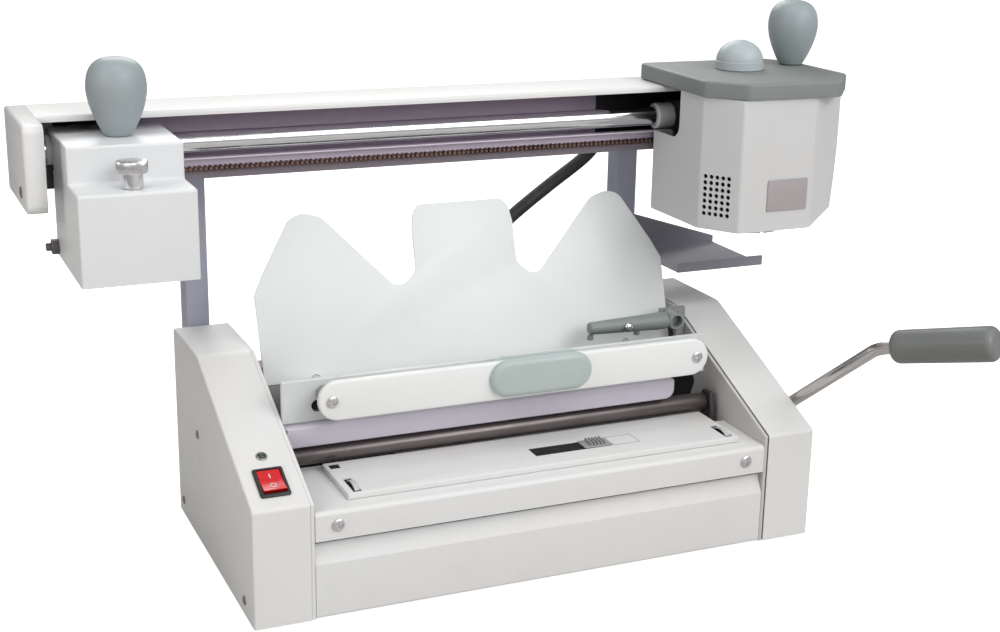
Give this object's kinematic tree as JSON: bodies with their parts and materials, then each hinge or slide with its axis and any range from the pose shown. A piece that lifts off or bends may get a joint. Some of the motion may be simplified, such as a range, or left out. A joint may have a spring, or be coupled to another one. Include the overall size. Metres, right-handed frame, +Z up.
{
  "type": "glue binding machine",
  "caption": "Table-top machine that mills a book block's spine, glues it and presses on a cover: sliding head and glue carriage on a rail, lever press, hand clamp.",
  "frame": {"origin": "on the standing surface, at the middle of the whole machine's floor print", "axes": "+X along the rail to the right as the user stands, +Y to the back, +Z up"},
  "size_m": [0.6716, 0.411, 0.424],
  "materials": {
    "back_plate": "pale powder coat, fine grain",
    "base_pan": "pale powder coat, fine grain",
    "beam": "pale powder coat, fine grain",
    "beam_left_cap": "pale powder coat, fine grain",
    "beam_right_cap": "pale powder coat, fine grain",
    "book_bed": "machined steel",
    "chain_strip": "plain",
    "chip_tray": "grey-blue paint",
    "clamp_bar": "pale powder coat, fine grain",
    "clamp_grip": "grey-green moulded",
    "clamp_jaw": "satin violet-grey paint",
    "conduit": "black moulded",
    "control_box": "dark coated",
    "cover_platform": "pale powder coat, fine grain",
    "cutter_disc": "machined steel",
    "gauge_arm": "pale powder coat, fine grain",
    "gauge_bracket": "machined steel",
    "glue_bearing": "plain",
    "glue_cover": "pale powder coat, fine grain",
    "glue_knob": "grey-green moulded",
    "glue_roller": "machined steel",
    "glue_tank": "plain",
    "guide_shaft": "polished",
    "head_bearing": "plain",
    "head_cover": "pale powder coat, fine grain",
    "head_knob": "grey-green moulded",
    "head_lid": "grey-green moulded",
    "indicator_lamp": "black moulded",
    "label_plate": "plain",
    "left_clamp_rod": "polished",
    "left_frame_plate": "pale powder coat, fine grain",
    "left_housing": "pale powder coat, fine grain",
    "left_post": "grey-blue paint",
    "left_press_arm": "machined steel",
    "lever_grip": "grey-green moulded",
    "lever_rod": "polished",
    "lever_shaft": "polished",
    "lower_gland": "black moulded",
    "lower_jaw": "satin violet-grey paint",
    "milling_motor": "machined steel",
    "motor_cap": "grey-green moulded",
    "nip_bar": "dark coated",
    "power_inlet": "black moulded",
    "rear_crossbar": "machined steel",
    "right_clamp_rod": "polished",
    "right_frame_plate": "pale powder coat, fine grain",
    "right_housing": "pale powder coat, fine grain",
    "right_post": "grey-blue paint",
    "right_press_arm": "machined steel",
    "rocker": "red moulded",
    "roller_chain": "oiled steel",
    "shaft_spacer": "grey-green moulded",
    "side_stud": "machined steel",
    "sprocket": "machined steel",
    "switch_bezel": "black moulded",
    "table": "pale powder coat, fine grain",
    "thickness_slider": "grey-green moulded",
    "thumb_screw": "grey-green moulded",
    "upper_gland": "black moulded"
  },
  "bodies": {
    "frame": {"left_housing": "left_housing", "right_housing": "right_housing", "left_frame_plate": "left_frame_plate", "right_frame_plate": "right_frame_plate", "base_pan": "base_pan", "book_bed": "book_bed", "control_box": "control_box", "power_inlet": "power_inlet", "switch_bezel": "switch_bezel", "indicator_lamp": "indicator_lamp", "table": "table", "cover_platform": "cover_platform", "back_plate": "back_plate", "rear_crossbar": "rear_crossbar", "gauge_bracket": "gauge_bracket", "left_post": "left_post", "right_post": "right_post", "beam": "beam", "beam_left_cap": "beam_left_cap", "beam_right_cap": "beam_right_cap", "guide_shaft": "guide_shaft", "shaft_spacer": "shaft_spacer", "roller_chain": "roller_chain", "chain_strip": "chain_strip", "chip_tray": "chip_tray", "conduit": "conduit", "lower_gland": "lower_gland", "upper_gland": "upper_gland"},
    "press_frame": {"lever_shaft": "lever_shaft", "left_press_arm": "left_press_arm", "right_press_arm": "right_press_arm", "nip_bar": "nip_bar", "lower_jaw": "lower_jaw", "lever_rod": "lever_rod", "lever_grip": "lever_grip"},
    "clamp": {"clamp_jaw": "clamp_jaw", "clamp_bar": "clamp_bar", "clamp_grip": "clamp_grip", "left_clamp_rod": "left_clamp_rod", "right_clamp_rod": "right_clamp_rod"},
    "power_rocker": {"rocker": "rocker"},
    "thickness_runner": {"thickness_slider": "thickness_slider"},
    "side_gauge": {"gauge_arm": "gauge_arm"},
    "glue_carriage": {"glue_cover": "glue_cover", "glue_bearing": "glue_bearing", "glue_tank": "glue_tank", "glue_knob": "glue_knob", "side_stud": "side_stud"},
    "roller_set": {"glue_roller": "glue_roller", "sprocket": "sprocket"},
    "thumb_wheel": {"thumb_screw": "thumb_screw"},
    "milling_head": {"head_cover": "head_cover", "head_lid": "head_lid", "motor_cap": "motor_cap", "head_knob": "head_knob", "label_plate": "label_plate", "milling_motor": "milling_motor", "head_bearing": "head_bearing"},
    "cutter": {"cutter_disc": "cutter_disc"}
  },
  "joints": [
    {"name": "press_lever", "type": "hinge", "parent": "frame", "child": "press_frame", "pos_m": [0.26875, 0.02304, 0.0764], "axis": [1, 0, 0], "range_deg": [-35, 0]},
    {"name": "clamp_slide", "type": "slide", "parent": "frame", "child": "clamp", "axis": [0, 1, 0], "range_m": [0, 0.03]},
    {"name": "power_switch", "type": "hinge", "parent": "frame", "child": "power_rocker", "pos_m": [-0.18775, -0.03288, 0.10419], "axis": [1, 0, 0], "range_deg": [0, 14]},
    {"name": "thickness_set", "type": "slide", "parent": "frame", "child": "thickness_runner", "axis": [1, 0, 0], "range_m": [-0.04, 0]},
    {"name": "gauge_turn", "type": "hinge", "parent": "frame", "child": "side_gauge", "pos_m": [0.19775, 0.07129, 0.158], "axis": [0, 1, 0], "range_deg": [0, 60]},
    {"name": "glue_slide", "type": "slide", "parent": "frame", "child": "glue_carriage", "axis": [1, 0, 0], "range_m": [0, 0.4]},
    {"name": "roller_turn", "type": "hinge", "parent": "glue_carriage", "child": "roller_set", "pos_m": [-0.2665, 0.11004, 0.272], "axis": [0, 1, 0], "range_deg": [-760, 5]},
    {"name": "thumb_turn", "type": "hinge", "parent": "glue_carriage", "child": "thumb_wheel", "pos_m": [-0.26675, 0.01734, 0.32], "axis": [0, 0, 1], "range_deg": [-720, 720]},
    {"name": "head_slide", "type": "slide", "parent": "frame", "child": "milling_head", "axis": [1, 0, 0], "range_m": [-0.4, 0]},
    {"name": "cutter_spin", "type": "hinge", "parent": "milling_head", "child": "cutter", "pos_m": [0.24775, 0.05304, 0.245], "axis": [0, 0, 1], "continuous": true}
  ],
  "couplings": [
    {"joint": "roller_turn", "follows": "glue_slide", "rad_per_m": -32.258}
  ]
}
